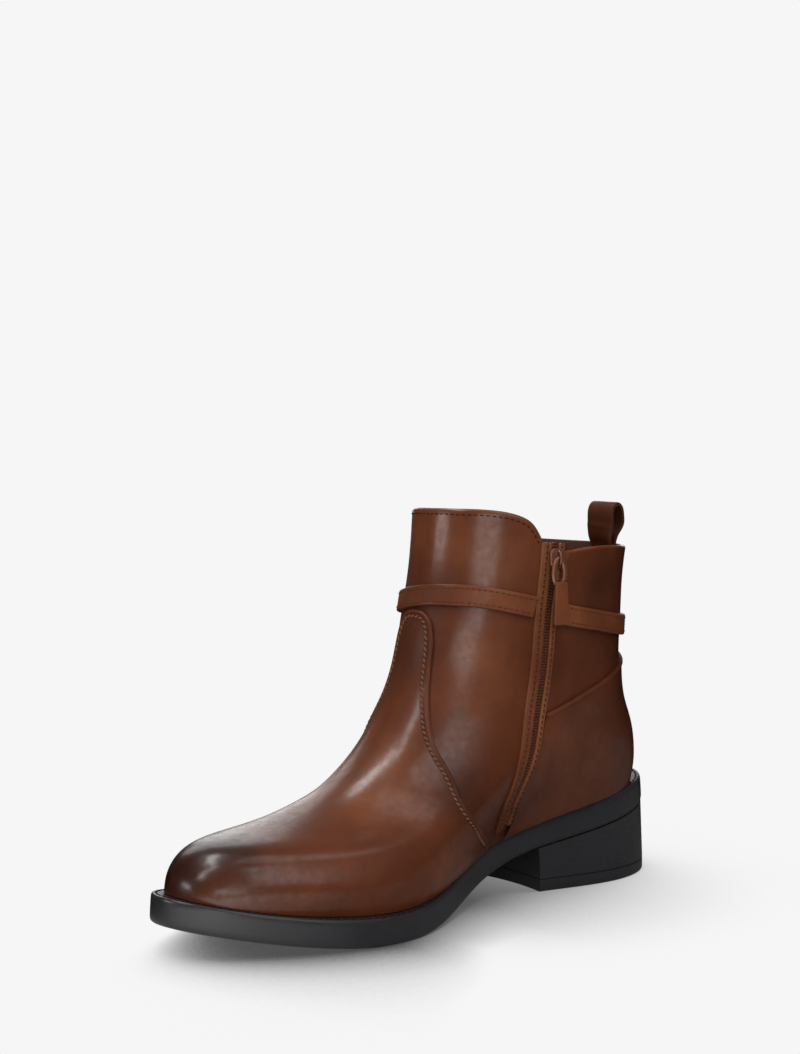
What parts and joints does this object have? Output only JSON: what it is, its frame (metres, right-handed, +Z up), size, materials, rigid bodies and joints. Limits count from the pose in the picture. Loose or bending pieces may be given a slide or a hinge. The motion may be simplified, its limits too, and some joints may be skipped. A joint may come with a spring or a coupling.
{
  "type": "ankle boot",
  "caption": "Right ankle boot in polished brown leather with a wrap strap and buckle, a zip on the inner side, a pull loop and a stacked block heel.",
  "frame": {"origin": "middle of the boot's box on the floor it stands on", "axes": "+X from heel to toe, +Y to the inner side of the foot where the zip is, +Z up"},
  "size_m": [0.2652, 0.0962, 0.1695],
  "materials": {
    "brown_leather": "polished",
    "strap_leather": "polished",
    "lining_leather": "matte",
    "black_rubber": "satin",
    "brown_zip": "matte",
    "brown_metal": "satin"
  },
  "bodies": {
    "boot": {"outsole": "black_rubber", "heel_block": "black_rubber", "heel_toplift": "black_rubber", "insole": "lining_leather", "upper": "brown_leather", "vamp": "brown_leather", "counter": "brown_leather", "zip_facing": "strap_leather", "zip_tape": "brown_zip", "zip_chain": "brown_zip", "strap_front": "strap_leather", "strap_rear": "strap_leather", "buckle_frame": "brown_metal", "buckle_prong": "brown_metal", "strap_keeper": "strap_leather", "pull_loop": "strap_leather", "zip_slider": "brown_metal"},
    "pull": {"zip_pull": "brown_metal", "zip_pull_tab": "strap_leather"}
  },
  "joints": [
    {"name": "pull_swing", "type": "hinge", "parent": "boot", "child": "pull", "pos_m": [-0.04691, 0.03937, 0.14838], "axis": [0.9779, -0.209, 0], "range_deg": [0, 150]}
  ]
}
